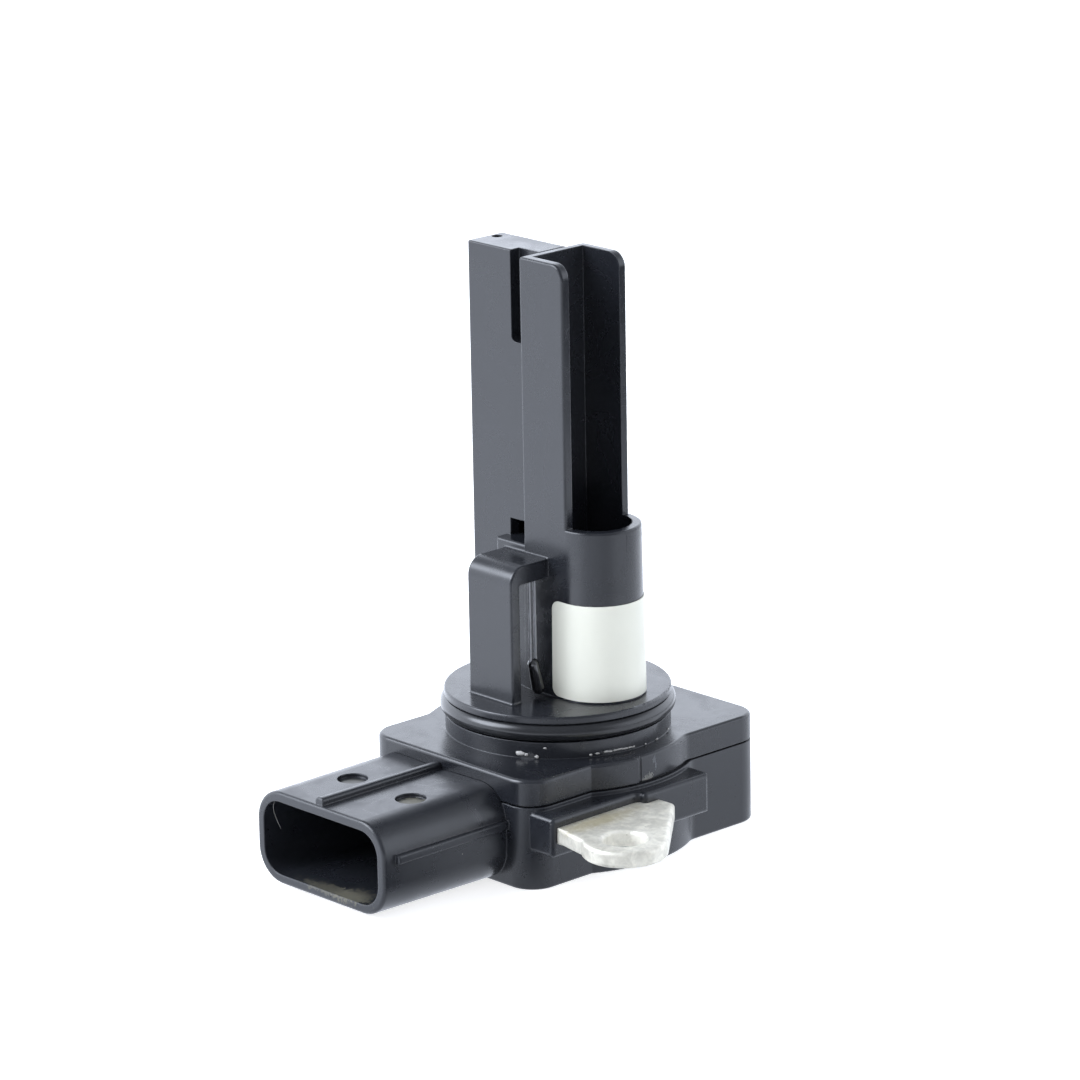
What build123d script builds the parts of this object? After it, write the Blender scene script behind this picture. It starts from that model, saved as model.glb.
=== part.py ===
from build123d import *
import os
from math import atan, cos, degrees, hypot, radians, sin, sqrt, tan

# A slot-in mass airflow sensor, in millimetres, standing on its base with the probe up.
# The origin is on the plug axis, on the flange face that seats on the air duct.
# The connector points to -X and the nearer mounting ear to -Y.

# Base plan
connector_wall_x = 19.65      # plug axis to the wall that carries the connector
end_wall_x = 22.2             # plug axis to the opposite wall
base_half_width = 15.6
base_corner_radius = 3.7
bulge_radius = 18.0           # round bulges of the two long sides, centred on the plug
bulge_blend_radius = 2.5
relief_depth = 0.4            # the flange's near bulge steps in beyond this line
relief_start_x = -2.6

# Base heights, measured down from the seating face
flange_thickness = 3.43
seam_gap = 0.26
base_depth = 14.76
flange_edge_radius = 0.5
base_edge_radius = 0.35

# Plug and its sealing groove
plug_radius = 14.8
plug_rim_radius = 14.9
groove_low_z = 2.2
groove_width = 2.5
plug_rim_thickness = 0.95
seal_section_radius = 1.2
seal_outer_radius = 15.45
plug_wall = 1.6
plug_top_wall = 2.0
seal_clearance = 0.02

# Probe: a slab, an open channel beside it, and a half-round cup round the channel's foot
probe_top_z = 63.2
slab_front_x = -2.15
slab_back_x = 4.1
slab_end_y = 13.5
slab_edge_radius = 0.4
slab_top_edge_radius = 0.25
channel_near_x = -4.2
channel_far_x = 7.2
channel_wall = 1.25
channel_end_y = -6.45
channel_back_y = 1.5
channel_corner_radius = 2.0
channel_edge_radius = 0.35
cup_top_z = 28.45
cup_floor = 2.4
cup_rim_radius = 0.3
cup_foot_growth = 0.25
ledge_top_z = 25.0
ledge_end_y = 6.8
ledge_edge_radius = 0.4

# Slots beside the channel at the probe's tip, and the peg hole in the slab's end
tip_slot_length = 12.1
tip_slot_end_y = 5.3
tip_slot_depth = 1.6
tip_slot_corner_radius = 0.8
peg_hole_radius = 0.7
peg_hole_depth = 2.0
peg_hole_x = 2.0
peg_hole_y = 12.2

# Air passage inside the slab, its outlet window and its cover
passage_front_wall = 1.55
passage_depth = 3.2
passage_end_wall = 1.5
passage_floor_z = 8.2
passage_top_z = 28.8
tip_pocket_wall = 2.2
port_height = 5.8
window_end_y = 6.15
window_height = 2.3
cover_lip = 0.9
cover_margin = 1.0

# Arched bracket that guards the air temperature bead
bracket_front_x = -10.9
bracket_near_y = -3.15
bracket_far_y = 5.15
bracket_top_z = 24.0
bracket_leg = 1.45
bracket_roof = 2.45
bracket_corner_radius = 2.4
bracket_inner_radius = 0.3
bracket_edge_radius = 0.3
moulded_corner_radius = 0.35  # inside corners at the bracket's foot and roof

# Air temperature bead, its two leads and the flat pins that carry them
lead_radius = 0.2
lead_clearance = 0.03
lead_y = -2.6
lead_1_x = -7.15
lead_2_x = -6.25
bead_x = -5.9
bead_radius = 0.93
bead_neck_radius = 0.75
bead_length = 5.1
bead_floor_gap = 0.35
lead_in_bead = 1.4
pin_thickness = 0.25
pin_width = 0.6
pin_spacing = 0.2
pin_overrun = 0.35
pin_from_tunnel = 0.35
pin_foot_below_board = 0.5

# Flow element on its carrier blade
carrier_x = 1.0
carrier_thickness = 1.0
carrier_low_y = 4.5
carrier_width = 5.0
carrier_top_z = 21.5
carrier_clearance = 0.05
element_size = 2.6
element_thickness = 0.35
element_below_tip = 1.2

# Connector shroud
shroud_length = 20.65
shroud_width = 24.5
shroud_height = 12.4
shroud_centre_y = 1.5
shroud_centre_z = -8.05
shroud_corner_radius = 4.4
shroud_wall = 1.25
shroud_draft = 0.6
shroud_root_embed = 1.0
shroud_flange_gap = 0.05
socket_depth = 18.0
mouth_edge_radius = 0.45
top_rib_width = 2.5
top_rib_offset_y = 0.95
top_rib_height = 1.45
top_rib_setback = 0.4
rib_edge_radius = 0.3
side_rib_height = 1.2
side_rib_depth = 0.75
side_rib_centre_z = -6.4
side_rib_setback = 1.9
dimple_radius = 2.0
dimple_depth = 0.5
dimple_setback = 10.0
dimple_pitch = 11.2
dimple_centre_y = 0.8

# Five terminals
terminal_count = 5
terminal_pitch = 3.6
terminal_width = 1.5
terminal_thickness = 0.64
terminal_tip_setback = 11.8
terminal_tip_taper = 0.5
terminal_drop = 2.2
terminal_drop_inset = 1.3
terminal_inner_length = 1.7

# Mounting plate with two ears
plate_thickness = 2.1
plate_top_z = -5.5
ear_hole_x = -14.6
ear_hole_y = -27.5
ear_hole_radius = 2.8
ear_nose_radius = 5.5
ear_left_x = -17.9
ear_left_lean_angle = 10
ear_root_x = -0.75
ear_slant_angle = 42
ear_corner_radius = 0.7
ear_top_edge_radius = 0.5
ear_bottom_edge = 0.2
plate_core_half_x = 14.5
plate_embed = 1.0
plate_window_low_x = -5.5
plate_window_high_x = 5.5
plate_window_low_y = -5.0
plate_window_high_y = 11.0

# Side pads that the ears come out of
pad_top_z = -4.25
pad_bottom_z = -9.5
pad_left_x = -18.7
pad_step_x = -3.6
pad_right_x = 8.0
pad_left_y = -18.6
pad_right_y = -19.9
pad_edge_radius = 0.6

# Circuit chamber in the base
chamber_wall = 3.0
chamber_corner_radius = 2.0
rim_wall = 1.8
cover_recess = 0.26
cover_thickness = 1.0
cover_seal_thickness = 0.3
cover_side_gap = 0.15
board_thickness = 0.8
board_left_gap = 3.25         # chamber wall to the board, at the terminals' end
board_right_gap = 2.7
board_side_gap = 2.1
gel_depth = 4.2

# Parts on the board
chip_from_end = 8.0           # the board's right edge to the chip's middle
chip_size = 7.0
chip_height = 1.3
capacitor_from_end = 5.4      # the board's left edge to the row
capacitor_pitch = 4.2
capacitor_count = 3
capacitor_length = 3.2
capacitor_width = 1.6
capacitor_height = 1.2
resistor_from_end = 10.2
resistor_pitch = 2.6
resistor_count = 2
resistor_from_side = 2.0
resistor_length = 2.0
resistor_width = 1.25
resistor_height = 0.5
ribbon_thickness = 0.15
ribbon_width = 0.9
ribbon_rise = 0.8
ribbon_foot = 0.8

# Sticker round the cup
label_thickness = 0.12
label_low_z = 5.85
label_height = 12.85
label_end_y = -3.9
label_corner_radius = 1.2

# Sizes that follow from the ones above
seam_z = -flange_thickness
housing_top_z = seam_z - seam_gap
base_bottom_z = -base_depth
groove_high_z = groove_low_z + groove_width
plug_top_z = groove_high_z + plug_rim_thickness
groove_radius = seal_outer_radius - 2 * seal_section_radius - seal_clearance
shroud_mouth_x = -connector_wall_x - shroud_length
channel_mid_x = (channel_near_x + channel_far_x) / 2
channel_half = (channel_far_x - channel_near_x) / 2
passage_front_x = slab_front_x + passage_front_wall
passage_back_x = passage_front_x + passage_depth
plate_core_half_y = base_half_width - chamber_wall + plate_embed
plate_bottom_z = plate_top_z - plate_thickness
board_bottom_z = plate_bottom_z - board_thickness
board_left_x = -connector_wall_x + chamber_wall + board_left_gap
board_right_x = end_wall_x - chamber_wall - board_right_gap
board_half_width = base_half_width - chamber_wall - board_side_gap
cover_bottom_z = base_bottom_z + cover_recess
cover_top_z = cover_bottom_z + cover_thickness
ledge_z = cover_top_z + cover_seal_thickness
pin_foot_z = board_bottom_z - pin_foot_below_board
terminal_foot_z = shroud_centre_z - terminal_drop


def block(x, y, z):
    """A box from its low and high limit along each axis."""
    middle = Pos((x[0] + x[1]) / 2, (y[0] + y[1]) / 2, (z[0] + z[1]) / 2)
    return middle * Box(x[1] - x[0], y[1] - y[0], z[1] - z[0])


def prism(sketch, low_z, high_z):
    """A plan sketch carried from one height to another."""
    return extrude(Pos(0, 0, low_z) * sketch, amount=high_z - low_z)


def half_turn(shape):
    """The same shape on the opposite side of the plug axis."""
    return Rot(0, 0, 180) * shape


def upright_edges(shape, x, y):
    """The vertical edges that stand at one place in plan."""
    return shape.edges().filter_by(Axis.Z).filter_by(
        lambda e: hypot(e.center().X - x, e.center().Y - y) < 0.01)


def base_plan(inset=0.0, relief=0.0):
    """Rounded rectangle with a round bulge on each long side."""
    length = connector_wall_x + end_wall_x - 2 * inset
    width = 2 * (base_half_width - inset)
    corner = base_corner_radius - inset
    box_plan = Pos((end_wall_x - connector_wall_x) / 2, 0) * RectangleRounded(length, width, corner)
    radius = bulge_radius - inset
    near_radius = radius - relief
    bulge = Circle(radius)
    if relief > 0:
        ring = Circle(radius + 1) - Circle(near_radius)
        side = Pos(relief_start_x + radius, -radius - base_half_width) * Rectangle(2 * radius, 2 * radius)
        bulge = bulge - (ring & side)
    plan = box_plan + bulge
    side_y = base_half_width - inset
    for r, side in ((near_radius, 1), (radius, -1)):
        meet_x = sqrt(r ** 2 - side_y ** 2)
        corners = plan.vertices().filter_by(
            lambda v: hypot(v.X - side * meet_x, v.Y + side * side_y) < 0.02)
        plan = fillet(corners, bulge_blend_radius)
    return plan


def chamber_plan(wall, corner):
    """The rectangle that lies one wall inside the base."""
    length = connector_wall_x + end_wall_x - 2 * wall
    width = 2 * (base_half_width - wall)
    return Pos((end_wall_x - connector_wall_x) / 2, 0) * RectangleRounded(length, width, corner)


def channel_outline(grow=0.0):
    """Plan of the channel with its half-round cup: a rectangle that ends in a half circle."""
    half = channel_half + grow
    straight = Pos(channel_mid_x, (channel_back_y + channel_end_y) / 2) * Rectangle(
        2 * half, channel_back_y - channel_end_y)
    return straight + Pos(channel_mid_x, channel_end_y) * Circle(half)


# Probe body: flange, plug, slab, channel, cup and bracket, moulded as one piece

def flange_and_plug():
    flange = prism(base_plan(relief=relief_depth), seam_z, 0)
    flange = fillet(flange.edges().group_by(Axis.Z)[-1], flange_edge_radius)
    profile = [
        Pos(0, 0, 0) * Cylinder(plug_radius, groove_low_z, align=(Align.CENTER, Align.CENTER, Align.MIN)),
        Pos(0, 0, groove_low_z) * Cylinder(
            groove_radius, groove_width, align=(Align.CENTER, Align.CENTER, Align.MIN)),
        Pos(0, 0, groove_high_z) * Cylinder(
            plug_rim_radius, plug_rim_thickness, align=(Align.CENTER, Align.CENTER, Align.MIN)),
    ]
    rim = fillet(profile[2].edges().group_by(Axis.Z)[-1], plug_rim_thickness * 0.3)
    body = flange + profile[0] + profile[1] + rim
    hollow_radius = groove_radius - plug_wall
    hollow = Pos(0, 0, seam_z) * Cylinder(
        hollow_radius, plug_top_z - plug_top_wall - seam_z, align=(Align.CENTER, Align.CENTER, Align.MIN))
    return body - hollow


def slab():
    body = block((slab_front_x, slab_back_x), (channel_back_y, slab_end_y), (plug_top_z, probe_top_z))
    ends = upright_edges(body, slab_front_x, slab_end_y) + upright_edges(body, slab_back_x, slab_end_y)
    body = fillet(ends, slab_edge_radius)
    top = body.edges().group_by(Axis.Z)[-1].filter_by(lambda e: e.center().Y > channel_back_y + 0.01)
    body = fillet(top, slab_top_edge_radius)
    peg_hole = Pos(peg_hole_x, peg_hole_y, probe_top_z) * Cylinder(peg_hole_radius, 2 * peg_hole_depth)
    return body - peg_hole


def tip_slot():
    """Cutter for the slot in the slab's front face, beside the channel at the tip."""
    low_z = probe_top_z - tip_slot_length
    cutter = block((slab_front_x - 1, slab_front_x + tip_slot_depth),
                   (channel_back_y, tip_slot_end_y), (low_z, probe_top_z + 1))
    foot = cutter.edges().filter_by(Axis.X).filter_by(
        lambda e: abs(e.center().Z - low_z) < 0.01 and e.center().Y > channel_back_y + 0.01)
    return fillet(foot, tip_slot_corner_radius)


def channel():
    """U-shaped channel that is open towards -Y, with rounded corners at its tip."""
    outer = block((channel_near_x, channel_far_x), (channel_end_y, channel_back_y), (plug_top_z, probe_top_z))
    tip = outer.edges().filter_by(Axis.X).filter_by(
        lambda e: e.center().Z > probe_top_z - 0.01 and e.center().Y < channel_end_y + 0.01)
    outer = fillet(tip, channel_corner_radius)
    back = upright_edges(outer, channel_near_x, channel_back_y) + upright_edges(
        outer, channel_far_x, channel_back_y)
    outer = fillet(back, channel_edge_radius)
    front = outer.edges().filter_by(
        lambda e: e.center().Y < channel_back_y - channel_wall and abs(e.tangent_at(0.5).X) < 0.01
        and e.center().Z > plug_top_z + 0.01)
    return fillet(front, channel_edge_radius)


def drafted(low_z, high_z, grow=0.0):
    """The channel's outline with its cup, between two heights of the slightly tapered foot."""
    slope = cup_foot_growth / (cup_top_z - plug_top_z)
    low = Pos(0, 0, low_z) * channel_outline(grow + slope * (cup_top_z - low_z))
    return extrude(low, amount=high_z - low_z, taper=degrees(atan(slope)))


def cup():
    """Foot of the channel, closed towards -Y by a half-round collar."""
    body = drafted(plug_top_z, cup_top_z)
    rim = body.edges().group_by(Axis.Z)[-1].filter_by(GeomType.CIRCLE)
    return fillet(rim, cup_rim_radius)


def channel_hollow():
    """The space inside the channel and the cup, open at the tip and towards -Y above the cup."""
    inner = channel_half - channel_wall
    floor_z = plug_top_z + cup_floor
    back_y = channel_back_y - channel_wall
    low = block((channel_mid_x - inner, channel_mid_x + inner), (channel_end_y, back_y),
                (floor_z, probe_top_z + 1))
    high = block((channel_mid_x - inner, channel_mid_x + inner), (channel_end_y - 1, back_y),
                 (cup_top_z, probe_top_z + 1))
    round_part = prism(Pos(channel_mid_x, channel_end_y) * Circle(inner), floor_z, cup_top_z + 1)
    return low + high + round_part


def ledge():
    """Stepped block at the slab's foot, flush with the channel's near wall."""
    body = block((channel_near_x, slab_front_x + passage_front_wall), (channel_back_y - channel_wall, ledge_end_y),
                 (plug_top_z, ledge_top_z))
    front = body.edges().filter_by(
        lambda e: abs(e.center().X - channel_near_x) < 0.01
        and (e.center().Z > ledge_top_z - 0.01 or e.center().Y > ledge_end_y - 0.01))
    return fillet(front, ledge_edge_radius)


def bracket():
    """Arch of one leg and a roof, open through along Y."""
    outer = block((bracket_front_x, channel_near_x), (bracket_near_y, bracket_far_y),
                  (plug_top_z, bracket_top_z))
    top = outer.edges().filter_by(Axis.Y).filter_by(
        lambda e: e.center().X < bracket_front_x + 0.01 and e.center().Z > bracket_top_z - 0.01)
    outer = fillet(top, bracket_corner_radius)
    sides = outer.edges().filter_by(
        lambda e: e.center().X < bracket_front_x + bracket_corner_radius
        and not e.geom_type == GeomType.CIRCLE and abs(e.tangent_at(0).Z) > 0.99)
    outer = fillet(sides, bracket_edge_radius)
    tunnel = block((bracket_front_x + bracket_leg, channel_near_x),
                   (bracket_near_y - 1, bracket_far_y + 1), (plug_top_z, bracket_top_z - bracket_roof))
    inner = tunnel.edges().filter_by(Axis.Y).filter_by(
        lambda e: e.center().X < channel_near_x - 0.01 and e.center().Z > plug_top_z + 0.01)
    return outer - fillet(inner, bracket_inner_radius)


def roof_corner():
    """Quarter-round strip in the corner between the bracket's roof and the wall that it joins."""
    r = moulded_corner_radius
    strip = block((channel_near_x - r, channel_near_x), (bracket_near_y, bracket_far_y),
                  (bracket_top_z, bracket_top_z + r))
    hollow = Pos(channel_near_x - r, (bracket_near_y + bracket_far_y) / 2, bracket_top_z + r) * Rot(
        90, 0, 0) * Cylinder(r, bracket_far_y - bracket_near_y + 1)
    return strip - hollow


def passage():
    """Air passage in the slab: from a port in the cup's back, past the element, to the window."""
    end_y = slab_end_y - passage_end_wall
    room = block((passage_front_x, passage_back_x), (channel_back_y, end_y),
                 (passage_floor_z, passage_top_z))
    port = block((passage_front_x, passage_back_x), (channel_back_y - channel_wall - 0.5, channel_back_y + 0.5),
                 (passage_floor_z, passage_floor_z + port_height))
    window = block((slab_front_x - 1, passage_front_x + 0.5), (channel_back_y, window_end_y),
                   (ledge_top_z, ledge_top_z + window_height))
    tip_pocket = block((passage_front_x, passage_back_x), (channel_back_y, end_y),
                       (passage_top_z + tip_pocket_wall, probe_top_z - tip_slot_length - tip_pocket_wall))
    return room + port + window + tip_pocket


def bypass_cover(clearance=0.0):
    """Flat cover let into the slab's back face, over the air passage."""
    low_y = channel_back_y + seal_clearance
    high_y = slab_end_y - cover_lip
    low_z = passage_floor_z - cover_margin
    high_z = probe_top_z - tip_slot_length - tip_pocket_wall + cover_margin
    return block((passage_back_x, slab_back_x + (1 if clearance else 0)),
                 (low_y - clearance, high_y + clearance), (low_z - clearance, high_z + clearance))


def carrier_slot():
    half = carrier_thickness / 2 + carrier_clearance
    return block((carrier_x - half, carrier_x + half),
                 (carrier_low_y - carrier_clearance, carrier_low_y + carrier_width + carrier_clearance),
                 (seam_z, passage_floor_z + 0.5))


def pin_offset(n):
    """How far pin n lies inside the roof and the channel wall, measured from the tunnel. Pin 2 lies inside pin 1."""
    return pin_from_tunnel + (2 - n) * (pin_thickness + pin_spacing)


def pin(n, clearance=0.0):
    """Flat pin: along the roof over its lead, then down inside the channel wall to the board."""
    offset = pin_offset(n)
    lead_x = lead_1_x if n == 1 else lead_2_x
    roof_z = bracket_top_z - bracket_roof + offset
    wall_x = channel_near_x + offset
    half = pin_width / 2 + clearance
    over = block((lead_x - pin_overrun - clearance, wall_x + pin_thickness + clearance),
                 (lead_y - half, lead_y + half), (roof_z - clearance, roof_z + pin_thickness + clearance))
    down = block((wall_x - clearance, wall_x + pin_thickness + clearance),
                 (lead_y - half, lead_y + half), (pin_foot_z, roof_z + pin_thickness + clearance))
    return over + down


def lead(n, radius):
    """One straight lead, from inside the bead up to its pin."""
    x = lead_1_x if n == 1 else lead_2_x
    low_z = plug_top_z + bead_floor_gap + bead_length - lead_in_bead
    high_z = bracket_top_z - bracket_roof + pin_offset(n)
    return Pos(x, lead_y, (low_z + high_z) / 2) * Cylinder(radius, high_z - low_z)


def lead_bore(n):
    """Straight bore in the roof that lets one lead up to its pin."""
    x = lead_1_x if n == 1 else lead_2_x
    roof_z = bracket_top_z - bracket_roof
    return Pos(x, lead_y, roof_z) * Cylinder(lead_radius + lead_clearance, 2 * pin_offset(n))


def thermistor_bead():
    """Drop-shaped bead that hangs from the two leads, its neck leaning over to take them both."""
    belly_z = plug_top_z + bead_floor_gap + bead_radius
    neck_rise = bead_length - bead_radius - bead_neck_radius
    outline = make_hull(Circle(bead_radius).edges() + (Pos(0, neck_rise) * Circle(bead_neck_radius)).edges())
    half = outline & (Pos(bead_radius, neck_rise / 2) * Rectangle(2 * bead_radius, 2 * bead_length))
    drop = revolve(Plane.XZ * half, axis=Axis.Z)
    lean = degrees(atan((bead_x - (lead_1_x + lead_2_x) / 2) / neck_rise))
    body = Pos(bead_x, lead_y, belly_z) * Rot(0, -lean, 0) * drop
    return body - lead(1, lead_radius) - lead(2, lead_radius)


def probe_body():
    body = flange_and_plug() + slab() + channel() + cup() + ledge() + bracket()
    foot = body.edges().filter_by(lambda e: abs(e.tangent_at(0.5).Y) > 0.99 and hypot(
        e.center().X - bracket_front_x, e.center().Z - plug_top_z) < 0.01)
    body = fillet(foot, moulded_corner_radius) + roof_corner()
    body = body - channel_hollow()
    body = body - tip_slot() - passage() - bypass_cover(clearance=seal_clearance) - carrier_slot()
    for n in (1, 2):
        body = body - lead_bore(n) - pin(n, clearance=lead_clearance)
    return body


# Sensing parts

def element_carrier():
    blade = block((carrier_x - carrier_thickness / 2, carrier_x + carrier_thickness / 2),
                  (carrier_low_y, carrier_low_y + carrier_width), (pin_foot_z, carrier_top_z))
    tip = blade.edges().filter_by(Axis.X).group_by(Axis.Z)[-1]
    return chamfer(tip, carrier_thickness * 0.6)


def flow_element():
    centre_y = carrier_low_y + carrier_width / 2
    high_z = carrier_top_z - element_below_tip
    face_x = carrier_x + carrier_thickness / 2
    return block((face_x, face_x + element_thickness),
                 (centre_y - element_size / 2, centre_y + element_size / 2), (high_z - element_size, high_z))


def plug_o_ring():
    centre = seal_outer_radius - seal_section_radius
    return Pos(0, 0, (groove_low_z + groove_high_z) / 2) * Torus(centre, seal_section_radius)


# Connector housing: base box, side pads and connector shroud, moulded round the plate and terminals

def shroud_section(x, inset=0.0, grow=0.0):
    """Rounded oblong across the connector at one distance along it, facing -X."""
    width = shroud_width + 2 * grow - 2 * inset
    height = shroud_height + 2 * grow - 2 * inset
    corner = shroud_corner_radius + grow - inset
    face = Plane(origin=(x, shroud_centre_y, shroud_centre_z), x_dir=(0, 1, 0), z_dir=(1, 0, 0))
    return face * RectangleRounded(width, height, corner)


def rounded_rib(rib, axis, outer_group):
    """A rib with the edges of its outermost face rounded, apart from the end inside the base."""
    face_edges = rib.edges().group_by(axis)[outer_group]
    free = face_edges.filter_by(lambda e: e.center().X < -connector_wall_x + shroud_root_embed - 0.01)
    return fillet(free, rib_edge_radius)


def shroud():
    total = shroud_length + shroud_root_embed
    grow = total * tan(radians(shroud_draft))
    body = loft([shroud_section(shroud_mouth_x), shroud_section(shroud_mouth_x + total, grow=grow)])
    mouth = body.faces().sort_by(Axis.X)[0].edges()
    body = fillet(mouth, mouth_edge_radius)
    top_z = shroud_centre_z + shroud_height / 2
    rib_y = shroud_centre_y + top_rib_offset_y
    top_rib = block((shroud_mouth_x + top_rib_setback, -connector_wall_x + shroud_root_embed),
                    (rib_y - top_rib_width / 2, rib_y + top_rib_width / 2),
                    (top_z - shroud_wall / 2, top_z + top_rib_height))
    side_y = shroud_centre_y - shroud_width / 2
    side_rib = block((shroud_mouth_x + side_rib_setback, -connector_wall_x + shroud_root_embed),
                     (side_y - side_rib_depth, side_y + shroud_wall / 2),
                     (side_rib_centre_z - side_rib_height / 2, side_rib_centre_z + side_rib_height / 2))
    body = body + rounded_rib(top_rib, Axis.Z, -1) + rounded_rib(side_rib, Axis.Y, 0)
    for side in (-1, 1):
        y = dimple_centre_y + side * dimple_pitch / 2
        x = shroud_mouth_x + dimple_setback
        floor_z = top_z + dimple_setback * tan(radians(shroud_draft)) - dimple_depth
        body = body - Pos(x, y, floor_z + 2) * Cylinder(dimple_radius, 4)
    return body


def socket():
    shrink = socket_depth * tan(radians(shroud_draft))
    return loft([shroud_section(shroud_mouth_x, inset=shroud_wall),
                 shroud_section(shroud_mouth_x + socket_depth, inset=shroud_wall + shrink)])


def pad():
    """Side pad in two steps, for the near side."""
    inner_y = -base_half_width + chamber_wall / 2
    left = block((pad_left_x, pad_step_x), (pad_left_y, inner_y), (pad_bottom_z, pad_top_z))
    right = block((pad_step_x, pad_right_x), (pad_right_y, inner_y), (pad_bottom_z, pad_top_z))
    body = left + right
    outer = body.edges().filter_by(lambda e: e.center().Y < pad_left_y + 0.01 or (
        e.center().X < pad_left_x + 0.01 and e.center().Y < -base_half_width))
    return fillet(outer, pad_edge_radius)


def connector_housing():
    base = prism(base_plan(), base_bottom_z, housing_top_z)
    base = fillet(base.edges().group_by(Axis.Z)[0], base_edge_radius)
    body = base + pad() + half_turn(pad()) + shroud()
    above_seam = block((-connector_wall_x - shroud_flange_gap, end_wall_x),
                       (-base_half_width, base_half_width), (housing_top_z, top_rib_height))
    body = body - socket() - above_seam
    room = prism(chamber_plan(chamber_wall, chamber_corner_radius), base_bottom_z, plate_bottom_z)
    recess = prism(chamber_plan(rim_wall, chamber_corner_radius), base_bottom_z, ledge_z)
    deck_window = block((plate_window_low_x, plate_window_high_x),
                        (plate_window_low_y, plate_window_high_y), (plate_bottom_z, housing_top_z))
    body = body - room - recess - deck_window - plate_blank()
    for n in range(terminal_count):
        body = body - terminal(n)
    return body


def terminal(n):
    """Flat blade in the socket that steps down inside the wall to reach the board."""
    y = shroud_centre_y + (n - (terminal_count - 1) / 2) * terminal_pitch
    half = terminal_width / 2
    thick = terminal_thickness / 2
    drop_x = -connector_wall_x - terminal_drop_inset
    end_x = -connector_wall_x + chamber_wall + terminal_inner_length
    blade = block((shroud_mouth_x + terminal_tip_setback, drop_x + thick), (y - half, y + half),
                  (shroud_centre_z - thick, shroud_centre_z + thick))
    tip = blade.edges().group_by(Axis.X)[0]
    blade = chamfer(tip, terminal_thickness * terminal_tip_taper * 0.6)
    riser = block((drop_x - thick, drop_x + thick), (y - half, y + half),
                  (terminal_foot_z - thick, shroud_centre_z + thick))
    foot = block((drop_x - thick, end_x), (y - half, y + half),
                 (terminal_foot_z - thick, terminal_foot_z + thick))
    return blade + riser + foot


def ear_plan():
    """Plan of the near ear: straight left edge, round nose about the hole, slanted right edge."""
    slant = radians(ear_slant_angle)
    tangent_x = ear_hole_x + ear_nose_radius * sin(slant)
    tangent_y = ear_hole_y - ear_nose_radius * cos(slant)
    meet_y = tangent_y + (ear_root_x - tangent_x) * tan(slant)
    inner_y = -plate_core_half_y
    lean = (pad_left_y - ear_hole_y) * tan(radians(ear_left_lean_angle))
    wing = Polyline((ear_left_x, inner_y), (ear_left_x, pad_left_y), (ear_left_x - lean, ear_hole_y),
                    (ear_hole_x, ear_hole_y), (tangent_x, tangent_y), (ear_root_x, meet_y),
                    (ear_root_x, inner_y), close=True)
    face = make_face(wing) + Pos(ear_hole_x, ear_hole_y) * Circle(ear_nose_radius)
    corner = face.vertices().filter_by(lambda v: hypot(v.X - ear_root_x, v.Y - meet_y) < 0.01)
    return fillet(corner, ear_corner_radius)


def ear_blank():
    """The near ear without its hole, its free edges rounded more on top than below."""
    ear = prism(ear_plan(), plate_bottom_z, plate_top_z)
    top = ear.edges().filter_by(
        lambda e: e.bounding_box().max.Y < pad_left_y + 0.01 and e.bounding_box().min.Z > plate_top_z - 0.01)
    ear = fillet(top, ear_top_edge_radius)
    bottom = ear.edges().filter_by(
        lambda e: e.bounding_box().max.Y < pad_left_y + 0.01 and e.bounding_box().max.Z < plate_bottom_z + 0.01)
    return chamfer(bottom, ear_bottom_edge)


def ear_hole():
    """Cutter for the near ear's screw hole, with a rounded mouth on top."""
    drill = Pos(ear_hole_x, ear_hole_y, (plate_top_z + plate_bottom_z) / 2) * Cylinder(
        ear_hole_radius, 2 * plate_thickness)
    mouth_radius = ear_hole_radius + ear_top_edge_radius
    mouth = Pos(ear_hole_x, ear_hole_y, plate_top_z) * Cylinder(mouth_radius, 2 * ear_top_edge_radius)
    ring = Pos(ear_hole_x, ear_hole_y, plate_top_z - ear_top_edge_radius) * Torus(
        mouth_radius, ear_top_edge_radius)
    return drill + (mouth - ring)


def plate_blank():
    """The plate without its window, which is also the room it takes in the housing."""
    ear = ear_blank()
    core = block((-plate_core_half_x, plate_core_half_x),
                 (-plate_core_half_y, plate_core_half_y), (plate_bottom_z, plate_top_z))
    return ear + half_turn(ear) + core


def mounting_plate():
    window = block((plate_window_low_x, plate_window_high_x), (plate_window_low_y, plate_window_high_y),
                   (plate_bottom_z, plate_top_z))
    return plate_blank() - window - ear_hole() - half_turn(ear_hole())


# Seals, covers and the circuit in the base

def flange_seal():
    """Bead of adhesive in the seam between the flange and the housing, set in from the edge."""
    outer = base_plan(inset=0.6)
    opening = Circle(groove_radius - plug_wall)
    return prism(outer - opening, housing_top_z, seam_z)


def cover_seal():
    ring = chamber_plan(rim_wall + cover_side_gap, chamber_corner_radius) - chamber_plan(
        chamber_wall, chamber_corner_radius)
    return prism(ring, cover_top_z, ledge_z)


def housing_cover():
    return prism(chamber_plan(rim_wall + cover_side_gap, chamber_corner_radius), cover_bottom_z, cover_top_z)


def circuit_board():
    board = block((board_left_x, board_right_x), (-board_half_width, board_half_width),
                  (board_bottom_z, plate_bottom_z))
    half = carrier_thickness / 2
    slot = block((carrier_x - half, carrier_x + half), (carrier_low_y, carrier_low_y + carrier_width),
                 (board_bottom_z, plate_bottom_z))
    board = board - slot
    for n in (1, 2):
        board = board - pin(n)
    return board


def control_chip():
    half = chip_size / 2
    chip_x = board_right_x - chip_from_end
    return block((chip_x - half, chip_x + half), (-half, half),
                 (board_bottom_z - chip_height, board_bottom_z))


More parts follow.
